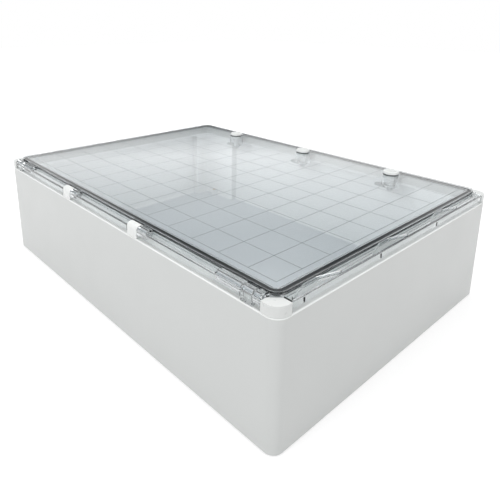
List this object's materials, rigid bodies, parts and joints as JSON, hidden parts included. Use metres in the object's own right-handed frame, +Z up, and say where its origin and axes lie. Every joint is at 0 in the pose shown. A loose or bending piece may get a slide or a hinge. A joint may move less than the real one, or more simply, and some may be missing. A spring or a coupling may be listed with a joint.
{
  "type": "hinged polycarbonate enclosure",
  "caption": "Shallow rectangular electrical enclosure: opaque base, clear gridded lid on hinges along one long side, held by quarter-turn locks.",
  "frame": {"origin": "centre of the base's flat back face, on which the closed box lies", "axes": "+Z up from the back through the lid; X along the long side with the hinges; hinges at -Y, locks at +Y"},
  "size_m": [0.7, 0.5, 0.1885],
  "materials": {
    "base_shell": "fine satin moulded polycarbonate, light grey",
    "clear_lid": "clear moulded polycarbonate",
    "black_seal": "soft black elastomer",
    "hinge_blocks": "pale grey moulded plastic",
    "steel_pins": "drawn steel wire",
    "corner_caps": "pale grey moulded plastic",
    "lock_plastic": "pale moulded plastic",
    "pawl_steel": "zinc-plated pressed steel",
    "insert_brass": "turned brass"
  },
  "bodies": {
    "base": {"base": "base_shell", "hinge_knuckle_left_end": "clear_lid", "hinge_knuckle_left": "hinge_blocks", "hinge_knuckle_right": "hinge_blocks", "hinge_knuckle_right_end": "clear_lid", "hinge_pin_left_end": "steel_pins", "hinge_pin_left": "steel_pins", "hinge_pin_right": "steel_pins", "hinge_pin_right_end": "steel_pins", "corner_cap_hinge_left": "corner_caps", "corner_cap_hinge_right": "corner_caps", "corner_cap_lock_left": "corner_caps", "corner_cap_lock_right": "corner_caps", "plate_inserts": "insert_brass"},
    "lid": {"lid": "clear_lid", "gasket": "black_seal", "lock_seals": "black_seal"},
    "lock_left": {"lock_screw_left": "lock_plastic", "lock_pawl_left": "pawl_steel", "lock_nut_left": "pawl_steel"},
    "lock_middle": {"lock_screw_middle": "lock_plastic", "lock_pawl_middle": "pawl_steel", "lock_nut_middle": "pawl_steel"},
    "lock_right": {"lock_screw_right": "lock_plastic", "lock_pawl_right": "pawl_steel", "lock_nut_right": "pawl_steel"}
  },
  "joints": [
    {"name": "lid_hinge", "type": "hinge", "parent": "base", "child": "lid", "pos_m": [0, -0.2433, 0.1764], "axis": [1, 0, 0], "range_deg": [0, 180]},
    {"name": "lock_turn_left", "type": "hinge", "parent": "lid", "child": "lock_left", "pos_m": [-0.2, 0.21, 0.17], "axis": [0, 0, -1], "range_deg": [0, 90]},
    {"name": "lock_turn_middle", "type": "hinge", "parent": "lid", "child": "lock_middle", "pos_m": [0, 0.21, 0.17], "axis": [0, 0, -1], "range_deg": [0, 90]},
    {"name": "lock_turn_right", "type": "hinge", "parent": "lid", "child": "lock_right", "pos_m": [0.2, 0.21, 0.17], "axis": [0, 0, -1], "range_deg": [0, 90]}
  ]
}
